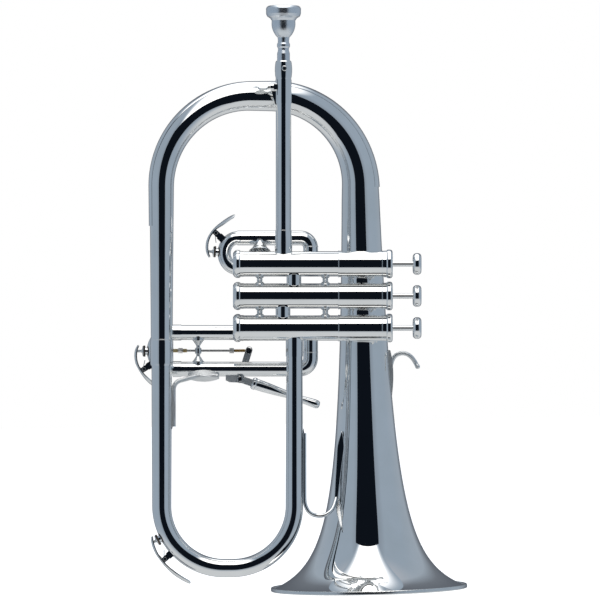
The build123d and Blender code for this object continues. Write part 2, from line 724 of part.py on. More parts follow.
THIRD_BEND_DEPTH = (THIRD_Z[0] - THIRD_Z[1]) / 2
save(slide_crook(THIRD_BEND_X, THIRD_BEND_DEPTH, THIRD_Z, (-78.0, -78.0), SLIDE_Y), "slide_3_crook")

with BuildPart() as slide_3_ferrules:
    for z in THIRD_Z:
        with BuildSketch(across(THIRD_JOINT_X, z, SLIDE_Y)):
            Circle(LEG_RADIUS + 0.45)
            Circle(LEG_RADIUS, mode=Mode.SUBTRACT)
        extrude(amount=6.6)
save(slide_3_ferrules.part, "slide_3_ferrules")

third_leg_space = (
    round_bar(spot(-152, THIRD_Z[0], SLIDE_Y), spot(-60, THIRD_Z[0], SLIDE_Y), LEG_RADIUS)
    + round_bar(spot(-152, THIRD_Z[1], SLIDE_Y), spot(-60, THIRD_Z[1], SLIDE_Y), LEG_RADIUS)
)

BRACE_X = -132.3
BRACE_Z = (THIRD_Z[0] + THIRD_Z[1]) / 2
with BuildPart() as slide_3_brace:
    with BuildSketch(upright(BRACE_X, BRACE_Z, SLIDE_Y)):
        with BuildLine():
            Polyline((0, -12), (5.0, -12), (4.7, -8.4), (3.9, -7.7), (1.6, -4.2), (1.4, -2.8), (2.5, -1.8),
                     (2.5, 1.8), (1.4, 2.8), (1.6, 4.2), (3.9, 7.7), (4.7, 8.4), (5.0, 12), (0, 12), close=True)
        make_face()
    revolve(axis=Axis(spot(BRACE_X, BRACE_Z, SLIDE_Y), UP))
    add(third_leg_space, mode=Mode.SUBTRACT)
save(Compound(children=[*slide_1_brace.part.solids(), *slide_3_brace.part.solids()]), "slide_braces")

# ---- trigger, lever and rod ----

PIVOT_FRONT = -17.5
PIVOT_BACK = LEVER_Y - 1.2
with BuildPart() as trigger_bracket:
    with BuildSketch(upright(0, 0, PIVOT_BACK)):
        Polygon((-111, 166.6), (-111, 162.4), (-108, 160.9), (-96.8, 160.5), (-96.8, 166.6), align=None)
    extrude(amount=PIVOT_BACK - PIVOT_FRONT)
    with BuildSketch(upright(PIVOT[0], PIVOT[1], PIVOT_BACK)):
        Circle(1.32)
    extrude(amount=PIVOT_BACK - PIVOT_FRONT, mode=Mode.SUBTRACT)
    add(third_leg_space, mode=Mode.SUBTRACT)
save(trigger_bracket.part, "trigger_bracket")

with BuildPart() as trigger_pivot_screw:
    with BuildSketch(upright(PIVOT[0], PIVOT[1], LEVER_Y + 2.6)):
        Circle(1.3)
    extrude(amount=LEVER_Y + 2.6 - PIVOT_FRONT)
    with BuildSketch(upright(PIVOT[0], PIVOT[1], PIVOT_FRONT)):
        Circle(2.3)
    extrude(amount=1.3)
    with BuildSketch(upright(PIVOT[0], PIVOT[1], LEVER_Y + 2.6)):
        Circle(2.3)
    extrude(amount=1.2)
save(trigger_pivot_screw.part, "trigger_pivot_screw")

ARM_LEAN = 17.2                  # degrees from upright, towards the valves
ARM_LENGTH = (ROD_Z - PIVOT[1]) / cos(radians(ARM_LEAN))
HANDLE_DROP = -18.3
arm_plane = Plane(
    origin=spot(PIVOT[0], PIVOT[1], LEVER_Y + 1),
    x_dir=RIGHT * cos(radians(ARM_LEAN)) - UP * sin(radians(ARM_LEAN)),
    z_dir=BACK * -1,
)
handle_out = RIGHT * cos(radians(HANDLE_DROP)) + UP * sin(radians(HANDLE_DROP))
handle_plane = Plane(origin=spot(PIVOT[0], PIVOT[1], LEVER_Y + 1), x_dir=handle_out, z_dir=BACK * -1)
with BuildPart() as trigger_lever:
    with BuildSketch(arm_plane):
        with Locations((0, ARM_LENGTH / 2)):
            SlotOverall(ARM_LENGTH + 6.4, 5.2, rotation=90)
    extrude(amount=2)
    with BuildSketch(handle_plane):
        with Locations((5.5, 0)):
            SlotOverall(17.5, 5.4)
    extrude(amount=2)
    with BuildSketch(handle_plane):
        Circle(1.36)
    extrude(amount=2, mode=Mode.SUBTRACT)
    with BuildSketch(arm_plane):
        with Locations((0, ARM_LENGTH + 0.3)):
            SlotOverall(5.2, 2.6, rotation=90)
    extrude(amount=2, mode=Mode.SUBTRACT)
save(trigger_lever.part, "trigger_lever")

HANDLE_START = 9.0
handle_profile_plane = Plane(
    origin=spot(PIVOT[0], PIVOT[1], HANDLE_Y), x_dir=handle_out, z_dir=BACK * -1,
)
with BuildPart() as trigger_handle:
    with BuildSketch(handle_profile_plane):
        with BuildLine():
            Polyline((HANDLE_START, 0), (HANDLE_START, 3.4), (10.4, 4.4), (12.6, 4.4), (13.4, 3.7))
            Spline((13.4, 3.7), (24, 2.3), (38, 1.75), (44, 2.6))
            Spline((44, 2.6), (52, 3.4), (60, 4.0), (63.4, 3.4), (64.9, 0))
            Line((64.9, 0), (HANDLE_START, 0))
        make_face()
    revolve(axis=Axis(spot(PIVOT[0], PIVOT[1], HANDLE_Y), handle_out))
    with BuildSketch(Plane(origin=spot(PIVOT[0], PIVOT[1], LEVER_Y + 1), x_dir=handle_out, z_dir=BACK * -1)):
        with Locations((HANDLE_START, 0)):
            Rectangle(10.8, 14)
    extrude(amount=6, mode=Mode.SUBTRACT)
save(trigger_handle.part, "trigger_handle")

ROD_SPAN = (-152.0, PIVOT[0] + ARM_LENGTH * sin(radians(ARM_LEAN)))
crook_post_x = THIRD_BEND_X - THIRD_BEND_DEPTH + CROOK_RADIUS
with BuildPart() as linkage_rod:
    with BuildSketch(across(ROD_SPAN[0], ROD_Z, ROD_Y)):
        Circle(0.9)
    extrude(amount=ROD_SPAN[1] - ROD_SPAN[0])
    with BuildSketch(across(ROD_SPAN[0], ROD_Z, ROD_Y)):
        Circle(1.3)
    extrude(amount=9)
    with BuildSketch(upright(ROD_SPAN[1], ROD_Z, ROD_Y + 1.2)):
        Circle(2.2)
    extrude(amount=2.2)
    with BuildSketch(upright(ROD_SPAN[1], ROD_Z, LEVER_Y + 2.0)):
        Circle(0.85)
    extrude(amount=LEVER_Y + 2.0 - ROD_Y)
save(linkage_rod.part, "linkage_rod")

with BuildPart() as rod_nuts:
    for start in (ROD_SPAN[0] + 4.2, ROD_SPAN[0] + 43.8):
        with BuildSketch(across(start, ROD_Z, ROD_Y)):
            RegularPolygon(2.3, 6)
            Circle(1.3 if start < -140 else 0.9, mode=Mode.SUBTRACT)
        extrude(amount=3.4)
save(rod_nuts.part, "rod_nuts")

first_bend_space = slide_crook(FIRST_BEND_X, FIRST_BEND_DEPTH, FIRST_Z, (-90.0, -90.0), SLIDE_Y, bore=0)
third_bend_space = slide_crook(THIRD_BEND_X, THIRD_BEND_DEPTH, THIRD_Z, (-140.0, -140.0), SLIDE_Y, bore=0)
with BuildPart() as rod_post:
    with BuildSketch(across(crook_post_x - 2.5, ROD_Z, SLIDE_Y)):
        Circle(3.2)
    extrude(amount=4.2)
    with BuildSketch(across(crook_post_x - 2.5, ROD_Z, SLIDE_Y)):
        Circle(1.5)
    extrude(amount=9.5)
    with BuildSketch(depthwise(crook_post_x + 5.4, ROD_Z, SLIDE_Y)):
        Circle(1.5)
    extrude(amount=ROD_Y - SLIDE_Y)
    with BuildSketch(across(crook_post_x + 5.4, ROD_Z, ROD_Y)):
        Circle(1.5)
    extrude(amount=ROD_SPAN[0] - crook_post_x - 5.4)
    add(third_bend_space, mode=Mode.SUBTRACT)
save(rod_post.part, "rod_post")

# ---- water keys ----
# Each is a fork and nipple on a bend, and a key that turns on a screw through the fork. Angles are
# measured round the bend's centre; heights are taken from the outside of the bend's tube.

EAR_HALF = 3.5
LUG_HALF = 1.9
EAR_ROUND = 2.1


def side_plane(centre, angle, y):
    """Plane facing forward through a bend's centre, its local x pointing out at an angle."""
    out = RIGHT * cos(radians(angle)) + UP * sin(radians(angle))
    return Plane(origin=spot(centre[0], centre[1], y), x_dir=out, z_dir=BACK * -1)


def fork(centre, surface, screw_angle, screw_lift, nipple_angle, y, tube):
    """Fork, screw and nipple of a water key."""
    screw_place = spot(*polar(centre, screw_angle, surface + screw_lift), y)
    with BuildPart() as ears:
        for front in (y - LUG_HALF - 0.02, y + EAR_HALF):
            with BuildSketch(side_plane(centre, screw_angle, front)):
                with Locations((surface + screw_lift / 2 - 1, 0)):
                    Rectangle(screw_lift + 2, 2 * EAR_ROUND)
                with Locations((surface + screw_lift, 0)):
                    Circle(EAR_ROUND)
            extrude(amount=EAR_HALF - LUG_HALF - 0.02)
        with BuildSketch(radial(centre, screw_angle, surface - 2.0, y)):
            Rectangle(2 * EAR_HALF, 5.4)
        extrude(amount=2 + screw_lift - EAR_ROUND - 1.2)
        add(tube, mode=Mode.SUBTRACT)
        add(round_bar(screw_place - BACK * 4, screw_place + BACK * 4, 0.92), mode=Mode.SUBTRACT)
    with BuildPart() as screw:
        add(round_bar(screw_place - BACK * 4.1, screw_place + BACK * 4.1, 0.9))
        add(round_bar(screw_place - BACK * 4.3, screw_place - BACK * 3.55, 1.5))
    with BuildPart() as nipple:
        with BuildSketch(radial(centre, nipple_angle, surface - 3.0, y)):
            Circle(2.9)
        extrude(amount=4.1)
        add(tube, mode=Mode.SUBTRACT)
        with BuildSketch(radial(centre, nipple_angle, surface - 4.0, y)):
            Circle(1.3)
        extrude(amount=6, mode=Mode.SUBTRACT)
    return [*ears.part.solids(), *screw.part.solids(), *nipple.part.solids()]


def key(centre, surface, screw_angle, screw_lift, nipple_angle, tip_angle, lifts, y):
    """Lever with its lug, its pad stem and its flat pad."""
    turn = 1 if tip_angle > screw_angle else -1
    tail = nipple_angle - turn * 260 / (surface + 6)
    middle = (nipple_angle + screw_angle) / 2
    beyond = (screw_angle + tip_angle) / 2
    angles = [tail, nipple_angle, middle, screw_angle, beyond, tip_angle]
    heights = [lifts[0] - 1.6, lifts[0], (lifts[0] + lifts[1]) / 2 + 0.5, lifts[1], lifts[1] + 0.9, lifts[2]]
    thick = [1.2, 1.4, 1.3, 1.3, 1.1, 0.7]
    outer = [polar(centre, angle, surface + height) for angle, height in zip(angles, heights)]
    inner = [polar(centre, angle, surface + height - deep)
             for angle, height, deep in zip(angles, heights, thick)]
    with BuildPart() as lever:
        with BuildSketch(upright(y=y)):
            with BuildLine():
                Spline(*outer)
                Line(outer[-1], inner[-1])
                Spline(*reversed(inner))
                Line(inner[0], outer[0])
            make_face()
        extrude(amount=3.3, both=True)
        with BuildSketch(side_plane(centre, screw_angle, y + LUG_HALF - 0.1)):
            with Locations((surface + screw_lift, 0)):
                Circle(2.0)
            with Locations((surface + (screw_lift + lifts[1]) / 2 - 0.3, 0)):
                Rectangle(lifts[1] - screw_lift, 4.0)
        extrude(amount=2 * LUG_HALF - 0.2)
        with BuildSketch(radial(centre, nipple_angle, surface + 2.3, y)):
            Circle(1.0)
        extrude(amount=lifts[0] - 2.8)
        with BuildSketch(radial(centre, nipple_angle, surface + 1.25, y)):
            Circle(4.2)
        extrude(amount=1.25)
        screw_place = spot(*polar(centre, screw_angle, surface + screw_lift), y)
        add(round_bar(screw_place - BACK * 4, screw_place + BACK * 4, 0.97), mode=Mode.SUBTRACT)
    return lever.part


# centre, surface, screw angle, screw lift, nipple angle and depth of each key's place
first_place = ((FIRST_BEND_X, (FIRST_Z[0] + FIRST_Z[1]) / 2), 15.4, 136.5, 7.2, 176.5)
third_place = ((THIRD_BEND_X, BRACE_Z), THIRD_BEND_DEPTH + CROOK_RADIUS, 213.5, 6.4, 180.5)
bow_place = ((LEFT_X + BOTTOM_BOW_ROUND, BOTTOM_BOW_Z + BOTTOM_BOW_ROUND), BOTTOM_BOW_ROUND + 7.25,
             222.0, 5.8, 207.3)

save(Compound(children=fork(*first_place, SLIDE_Y, first_bend_space)), "slide_1_fork")
save(Compound(children=fork(*third_place, SLIDE_Y, third_bend_space)), "slide_3_fork")
save(Compound(children=fork(*bow_place, VALVE_Y, bottom_space)), "bow_fork")

# tip angle, and heights over the nipple, over the screw and at the tip
save(key(*first_place, 93.6, (8.8, 10.8, 14.4), SLIDE_Y), "slide_1_water_key")
save(key(*third_place, 252, (9.3, 10.2, 12.0), SLIDE_Y), "slide_3_water_key")
save(key(*bow_place, 246.5, (7.6, 9.6, 10.2), VALVE_Y), "bow_water_key")

# ---- braces and finger hook ----

# wire from the left tube to the third slide's lower leg
with BuildPart() as left_tube_brace:
    add(bent_bar([spot(-150.9, 127), spot(-150.9, 161), spot(-133, 165.8, -23.2), spot(-117, 165.8, -22.2)],
                 7.0, 1.7))
    with BuildSketch(Plane(origin=spot(-128, 163.6, -22.4), x_dir=RIGHT,
                           z_dir=(BACK * -1 - UP * 1.1).normalized())):
        with BuildLine():
            ThreePointArc((-12, 0), (0, 3.4), (12, 0))
            ThreePointArc((12, 0), (0, -3.4), (-12, 0))
        make_face()
    extrude(amount=-6)
    with BuildSketch(upright(0, 0, VALVE_Y + 2.2)):
        with BuildLine():
            ThreePointArc((-152, 125), (-149.6, 140), (-152, 156))
            Polyline((-152, 156), (-156, 156), (-156, 125), (-152, 125))
        make_face()
    extrude(amount=4.4)
    add(bottom_space, mode=Mode.SUBTRACT)
    add(third_leg_space, mode=Mode.SUBTRACT)
save(left_tube_brace.part, "left_tube_brace")


def bell_front(x, z, clearance):
    """Depth of the bell's near surface beside its axis at this place of the valve frame."""
    place = spot(x, z, 0)
    reach = flare_radius(place.Z) + clearance
    return -sqrt(reach * reach - place.X * place.X)


WIRE = 1.65
foot_places = [(-21.2, 124), (-21.0, 98), (-20.8, 72), (-20.6, 47)]
arm_places = [(-20.4, 121), (-20.9, 107), (-21.6, 93), (-22.6, 80)]
with BuildPart() as bell_brace:
    with BuildLine() as foot_route:
        Spline(*[spot(x, z, bell_front(x, z, 0.6)) for x, z in foot_places])
    with BuildSketch(Plane(origin=foot_route.wire() @ 0, x_dir=RIGHT, z_dir=foot_route.wire() % 0)):
        Ellipse(2.4, 1.5)
    sweep()
    add(bent_bar([spot(-50.2, 121), spot(-50.2, 57.4), spot(-31, 57.4, -30),
                  spot(-22.6, 78, bell_front(-22.6, 78, 0.8))], 9.0, WIRE))
    with BuildLine() as arm_route:
        Spline(*[spot(x, z, bell_front(x, z, 1.6)) for x, z in arm_places])
    with BuildSketch(Plane(origin=arm_route.wire() @ 0, x_dir=RIGHT, z_dir=arm_route.wire() % 0)):
        Ellipse(2.5, 1.7)
    sweep()
    with BuildSketch(upright(0, 0, VALVE_Y + 2.3)):
        with BuildLine():
            ThreePointArc((-51.2, 125), (-49.0, 98), (-51.2, 69))
            Polyline((-51.2, 69), (-55, 69), (-55, 125), (-51.2, 125))
        make_face()
    extrude(amount=4.6)
    add(bottom_space, mode=Mode.SUBTRACT)
    add(flare_solid(0), mode=Mode.SUBTRACT)
save(bell_brace.part, "bell_brace")

with BuildPart() as finger_hook:
    with BuildLine(upright(y=-1.0)) as hook_route:
        Spline((15.6, 162), (17.2, 175), (20.6, 181.3), (26.7, 183.1), (32.6, 180.3), (37.6, 172.8),
               tangents=[(0.15, 1), (0.55, -1)])
    with BuildSketch(Plane(origin=hook_route.wire() @ 0, x_dir=BACK, z_dir=hook_route.wire() % 0)):
        Circle(WIRE)
    sweep()
    with Locations(hook_route.wire() @ 1):
        Sphere(WIRE + 0.25)
    with BuildSketch(upright(0, 0, 2.2)):
        with BuildLine():
            Spline((17.3, 147.5), (18.6, 160), (18.5, 172), (16.4, 185.5))
            Polyline((16.4, 185.5), (10, 185.5), (10, 147.5), (17.3, 147.5))
        make_face()
    extrude(amount=6.4)
    add(flare_solid(0), mode=Mode.SUBTRACT)
save(finger_hook.part, "finger_hook")

# short posts between the valves' upper sleeves and the bell
with BuildPart() as bell_valve_braces:
    for z in (VALVE_Z[0], VALVE_Z[2]):
        with BuildSketch(depthwise(-7, z, VALVE_Y)):
            Circle(4.0)
        extrude(amount=-VALVE_Y - 8)
    for z in VALVE_Z:
        add(round_bar(spot(-40, z), spot(12, z), UPPER_SLEEVE_RADIUS), mode=Mode.SUBTRACT)
    add(bell_space, mode=Mode.SUBTRACT)
save(bell_valve_braces.part, "bell_valve_braces")

# pad between the leadpipe and the top bow behind it
with BuildPart() as leadpipe_bow_brace:
    with BuildSketch(depthwise(LEADPIPE_X - 2, TOP_BOW_Z, VALVE_Y)):
        Circle(5.2)
    extrude(amount=10)
    add(round_bar(spot(LEADPIPE_X, 360), spot(LEADPIPE_X, SLEEVE_TOP), SLEEVE_RADIUS + 0.3), mode=Mode.SUBTRACT)
    add(clamp_collar.part, mode=Mode.SUBTRACT)
    add(bell_space, mode=Mode.SUBTRACT)
save(leadpipe_bow_brace.part, "leadpipe_bow_brace")
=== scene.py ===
import json
import math

import bpy
from mathutils import Matrix, Vector


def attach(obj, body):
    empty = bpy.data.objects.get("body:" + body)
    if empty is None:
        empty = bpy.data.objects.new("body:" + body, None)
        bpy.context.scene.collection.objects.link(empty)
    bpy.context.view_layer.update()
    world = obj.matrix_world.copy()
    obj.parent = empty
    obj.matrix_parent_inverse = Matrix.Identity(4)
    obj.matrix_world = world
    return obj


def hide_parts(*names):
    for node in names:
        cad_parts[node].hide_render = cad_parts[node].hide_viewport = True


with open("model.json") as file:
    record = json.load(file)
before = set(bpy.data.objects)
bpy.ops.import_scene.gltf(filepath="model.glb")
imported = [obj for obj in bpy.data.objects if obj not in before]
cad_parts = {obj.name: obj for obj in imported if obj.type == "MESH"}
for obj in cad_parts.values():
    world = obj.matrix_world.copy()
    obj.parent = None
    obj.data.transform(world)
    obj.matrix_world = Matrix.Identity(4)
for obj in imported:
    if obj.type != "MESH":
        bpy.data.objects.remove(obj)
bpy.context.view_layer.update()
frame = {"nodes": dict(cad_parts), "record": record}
nodes = frame["nodes"]
scene = bpy.context.scene

# ---- the valve frame: places in millimetres along the valves (x), across them (z) and in depth (y) ----

LEAN = math.radians(1.25)
RIGHT = Vector((math.cos(LEAN), 0, -math.sin(LEAN)))
UP = Vector((math.sin(LEAN), 0, math.cos(LEAN)))
BACK = Vector((0, 1, 0))
VALVE_Y = -31.0
SLIDE_Y = -14.3
VALVE_Z = (252.15, 227.5, 202.85)
LEFT_X = -160.0
LEG_X = -57.9
LEADPIPE_X = -66.3
ELBOW_X = -45.4
BOTTOM_Z = 18.1
PIVOT_X = -100.0
PIVOT_Z = 163.2
ROD_Y = -9.0
ROD_Z = 185.2
MM = 0.001


def spot(x, z, y=VALVE_Y):
    return (RIGHT * x + UP * z + BACK * y) * MM


def direction(angle):
    """Unit vector at this angle in degrees, from along the valves towards across them."""
    return RIGHT * math.cos(math.radians(angle)) + UP * math.sin(math.radians(angle))


# ---- camera ----

camera = bpy.data.objects.new("camera", bpy.data.cameras.new("camera"))
scene.collection.objects.link(camera)
camera.data.sensor_width = 36.0
camera.data.lens = 286.1
stand = spot(-53.6, 224.4, -3700)
camera.matrix_world = Matrix((
    (RIGHT.x, UP.x, 0, stand.x),
    (0, 0, -1, stand.y),
    (RIGHT.z, UP.z, 0, stand.z),
    (0, 0, 0, 1),
))
scene.camera = camera
scene.view_settings.view_transform = "Standard"


# ---- materials ----

class Nodes:
    """Short calls for building a node tree."""

    def __init__(self, tree):
        self.tree = tree
        tree.nodes.clear()

    def add(self, kind, **settings):
        node = self.tree.nodes.new(kind)
        for key, value in settings.items():
            if hasattr(node, key):
                setattr(node, key, value)
            else:
                node.inputs[key.replace("_", " ")].default_value = value
        return node

    def link(self, source, target):
        self.tree.links.new(source, target)

    def math(self, operation, first, second=None, clamp=False):
        node = self.tree.nodes.new("ShaderNodeMath")
        node.operation = operation
        node.use_clamp = clamp
        for index, value in enumerate((first, second)):
            if value is None:
                continue
            if isinstance(value, (int, float)):
                node.inputs[index].default_value = value
            else:
                self.link(value, node.inputs[index])
        return node.outputs[0]

    def step(self, value, low, high):
        node = self.tree.nodes.new("ShaderNodeMapRange")
        node.interpolation_type = "SMOOTHSTEP"
        self.link(value, node.inputs["Value"])
        node.inputs["From Min"].default_value = low
        node.inputs["From Max"].default_value = high
        return node.outputs["Result"]

    def surface(self, shader, kind="ShaderNodeOutputMaterial"):
        self.link(shader.outputs[0], self.add(kind).inputs["Surface"])

    def ramp(self, value, stops):
        node = self.tree.nodes.new("ShaderNodeValToRGB")
        elements = node.color_ramp.elements
        while len(elements) < len(stops):
            elements.new(0.5)
        for element, (place, color) in zip(elements, stops):
            element.position = place
            element.color = (*color, 1)
        self.link(value, node.inputs["Fac"])
        return node.outputs["Color"]


def blank_material(name):
    made = bpy.data.materials.new(name)
    made.use_nodes = True
    return made, Nodes(made.node_tree)


def material(name, metallic, low, high, rough, grain=900.0, bump=0.0, wave=0.0, coat=0.0, stretch=(1, 1, 1)):
    """Principled material whose colour, roughness and surface vary over the object."""
    made, tree = blank_material(name)
    shader = tree.add("ShaderNodeBsdfPrincipled", Metallic=metallic)
    shader.inputs["Coat Weight"].default_value = coat
    tree.surface(shader)
    place = tree.add("ShaderNodeTexCoord")
    mapping = tree.add("ShaderNodeMapping")
    mapping.inputs["Scale"].default_value = stretch
    tree.link(place.outputs["Object"], mapping.inputs["Vector"])
    cloud = tree.add("ShaderNodeTexNoise", Scale=45.0, Detail=3.0)
    fine = tree.add("ShaderNodeTexNoise", Scale=grain, Detail=4.0)
    tree.link(place.outputs["Object"], cloud.inputs["Vector"])
    tree.link(mapping.outputs[0], fine.inputs["Vector"])
    tree.link(tree.ramp(cloud.outputs["Fac"], [(0.3, low), (0.7, high)]), shader.inputs["Base Color"])
    spread = tree.add("ShaderNodeMapRange")
    spread.inputs["To Min"].default_value = rough[0]
    spread.inputs["To Max"].default_value = rough[1]
    tree.link(fine.outputs["Fac"], spread.inputs["Value"])
    tree.link(spread.outputs["Result"], shader.inputs["Roughness"])
    normal = None
    for texture, strength, distance in ((cloud, wave, 0.001), (fine, bump, 0.0002)):
        if strength:
            node = tree.add("ShaderNodeBump", Strength=strength, Distance=distance)
            tree.link(texture.outputs["Fac"], node.inputs["Height"])
            if normal:
                tree.link(normal, node.inputs["Normal"])
            normal = node.outputs["Normal"]
    if normal:
        tree.link(normal, shader.inputs["Normal"])
    return made


silver = material("silver_plate", 1.0, (0.9, 0.9, 0.885), (0.955, 0.955, 0.95), (0.015, 0.05))
satin = material("satin_silver", 1.0, (0.84, 0.85, 0.84), (0.92, 0.92, 0.91), (0.2, 0.3), wave=0.1)
brushed = material("brushed_silver", 1.0, (0.88, 0.89, 0.88), (0.95, 0.95, 0.94), (0.46, 0.6), bump=0.05,
                   stretch=(1, 1, 5))
cup_silver = material("mouthpiece_silver", 1.0, (0.82, 0.86, 0.9), (0.88, 0.91, 0.94), (0.24, 0.34))
alloy = material("piston_alloy", 1.0, (0.5, 0.49, 0.46), (0.6, 0.59, 0.56), (0.16, 0.3), bump=0.1,
                 stretch=(8, 1, 1))
steel = material("steel", 1.0, (0.42, 0.42, 0.42), (0.55, 0.55, 0.54), (0.14, 0.28), bump=0.1)
brass = material("threaded_brass", 1.0, (0.5, 0.36, 0.16), (0.66, 0.5, 0.26), (0.18, 0.3), bump=0.1)
plastic = material("guide_plastic", 0.0, (0.82, 0.8, 0.72), (0.88, 0.86, 0.8), (0.4, 0.5), bump=0.1)
felt = material("felt", 0.0, (0.78, 0.76, 0.7), (0.88, 0.87, 0.83), (0.9, 1.0), grain=2600, bump=1.0)
cork = material("cork", 0.0, (0.025, 0.02, 0.018), (0.06, 0.045, 0.035), (0.75, 0.95), grain=1600, bump=0.8)
pearl = material("pearl", 0.0, (0.72, 0.72, 0.7), (0.9, 0.86, 0.88), (0.12, 0.2), grain=300, wave=0.3, coat=0.6,
                 stretch=(1, 3, 1))

slot_materials = {
    "silver_plate": silver,
    "piston_alloy": alloy,
    "spring_steel": steel,
    "guide_plastic": plastic,
    "steel": steel,
}
for part in frame["record"]["subparts"]:
    mesh = nodes[part["node"]].data
    mesh.materials.clear()
    mesh.materials.append(slot_materials[part["material_slot"]])

for name in ("bell_rim", "clamp_screw", "casing_posts", "slide_braces", "slide_2_knob"):
    nodes[name].data.materials[0] = satin
for name in ("trigger_bracket", "trigger_lever", "left_tube_brace", "finger_hook"):
    nodes[name].data.materials[0] = brushed
nodes["mouthpiece"].data.materials[0] = cup_silver


# ---- meshes ----

def finish_piece(name, mesh, finish, body):
    mesh.validate()
    mesh.materials.append(finish)
    for face in mesh.polygons:
        face.use_smooth = True
    mesh.set_sharp_from_angle(angle=math.radians(38))
    piece = bpy.data.objects.new(name, mesh)
    scene.collection.objects.link(piece)
    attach(piece, body)
    return piece


def skin(name, loops, wrap, finish, body):
    """Surface through closed loops of points in metres: wrapped round from last to first, or capped at both ends."""
    count = len(loops[0])
    corners = [point for loop in loops for point in loop]
    faces = []
    for row in range(len(loops) if wrap else len(loops) - 1):
        here = row * count
        there = (row + 1) % len(loops) * count
        for index in range(count):
            follow = (index + 1) % count
            faces.append((here + index, here + follow, there + follow, there + index))
    if not wrap:
        faces.append(tuple(reversed(range(count))))
        faces.append(tuple(range(len(corners) - count, len(corners))))
    mesh = bpy.data.meshes.new(name)
    mesh.from_pydata(corners, [], faces)
    return finish_piece(name, mesh, finish, body)


def ring(centre, axis, radius, around=96, side=None):
    """Circle of points in metres round a centre in millimetres."""
    axis = axis.normalized()
    side = side or BACK.cross(axis).normalized()
    other = axis.cross(side)
    turns = [2 * math.pi * step / around for step in range(around)]
    return [(centre + (side * math.cos(turn) + other * math.sin(turn)) * radius) * MM for turn in turns]


def turned(name, origin, axis, outline, finish, body, around=96):
    """Closed ring or disc turned from (radius, along) points in millimetres; origin in metres."""
    axis = axis.normalized()
    side = axis.orthogonal().normalized()
    loops = [ring(origin / MM + axis * along, axis, radius, around, side) for radius, along in outline]
    return skin(name, loops, True, finish, body)


def wire(name, points, radius, finish, body):
    """Round wire along points in metres."""
    curve = bpy.data.curves.new(name, "CURVE")
    curve.dimensions = "3D"
    curve.bevel_depth = radius * MM
    curve.bevel_resolution = 3
    curve.use_fill_caps = True
    line = curve.splines.new("NURBS")
    line.points.add(len(points) - 1)
    for target, point in zip(line.points, points):
        target.co = (*point, 1)
    line.order_u = 3
    line.use_endpoint_u = True
    line.resolution_u = 6
    holder = bpy.data.objects.new(name, curve)
    mesh = bpy.data.meshes.new_from_object(holder)
    bpy.data.objects.remove(holder)
    mesh.name = name
    return finish_piece(name, mesh, finish, body)


def along_bow(points, bend, spacing):
    """(place, heading, distance) along straight tubes joined by round bends, in millimetres."""
    stations = []
    travelled = 0.0
    here = points[0]
    for index in range(1, len(points)):
        heading = (points[index] - points[index - 1]).normalized()
        if index < len(points) - 1:
            onward = (points[index + 1] - points[index]).normalized()
            angle = heading.angle(onward)
            cut = bend * math.tan(angle / 2)
            stop = points[index] - heading * cut
        else:
            stop = points[index]
        length = (stop - here).length
        steps = max(1, round(length / spacing))
        for step in range(steps):
            stations.append((here.lerp(stop, step / steps), heading, travelled + length * step / steps))
        travelled += length
        here = stop
        if index == len(points) - 1:
            stations.append((stop, heading, travelled))
            break
        hinge = heading.cross(onward).normalized()
        middle = stop + hinge.cross(heading) * bend
        steps = round(bend * angle / spacing)
        for step in range(steps):
            turn = Matrix.Rotation(angle * step / steps, 3, hinge)
            place = middle + turn @ (stop - middle)
            stations.append((place, turn @ heading, travelled + bend * angle * step / steps))
        travelled += bend * angle
        here = middle + Matrix.Rotation(angle, 3, hinge) @ (stop - middle)
    return stations


# ---- bell, bows and guard as fine smooth skins over the CAD shapes ----

RIM_BORE = 73.8
FLARE_TOP = 302.0
FLARE_SCALE = 349.0
FLARE_SHIFT = 15.0
FLARE_POWER = -0.55
FLARE_ROWS = 120
BELL_WALL = 0.6
BELL_AXIS = Vector((0, 0, 1))
AROUND_BELL = 144
TOP_BEND = 70.0
BOTTOM_BEND = 48.0
BOTTOM_WALL = 0.55
# the bottom bow's taper runs on this far past the tube's end, to the third casing's axis
TAPER_BEYOND = 9.2
ROW_SPACING = 1.6


def flare(height):
    """Radius of the bell's flare."""
    return FLARE_SCALE * (height + FLARE_SHIFT) ** FLARE_POWER


def flare_point(height, depth):
    """(radius, height) moved square to the flare's surface into the wall."""
    radius = flare(height)
    slope = FLARE_POWER * radius / (height + FLARE_SHIFT)
    length = math.hypot(1, slope)
    return radius - depth / length, height + depth * slope / length


def bow_radius(distance):
    """Radius of the top bow, joining the flare without a step."""
    return 7.0 + 7.45 * math.exp(-distance / 215.0) + 0.25 * math.exp(-distance / 30.0)


flare_low = (FLARE_SCALE / RIM_BORE) ** (-1 / FLARE_POWER) - FLARE_SHIFT
heights = [flare_low + (FLARE_TOP - flare_low) * (row / FLARE_ROWS) ** 2 for row in range(FLARE_ROWS)]
bow_points = [
    Vector((0, 0, FLARE_TOP)),
    Vector((0, 0, 381.8)),
    spot(LEFT_X, 381.5) / MM,
    spot(LEFT_X, 184.1) / MM,
]
outside = []
inside = []
for height in heights:
    for loops, depth in ((outside, 0.0), (inside, BELL_WALL)):
        radius, level = flare_point(height, depth)
        loops.append(ring(BELL_AXIS * level, BELL_AXIS, radius, AROUND_BELL))
for place, heading, distance in along_bow(bow_points, TOP_BEND, ROW_SPACING):
    outside.append(ring(place, heading, bow_radius(distance), AROUND_BELL))
    inside.append(ring(place, heading, bow_radius(distance) - BELL_WALL, AROUND_BELL))
bell = skin("bell_skin", outside + inside[::-1], True, silver, "horn")
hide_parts("bell")

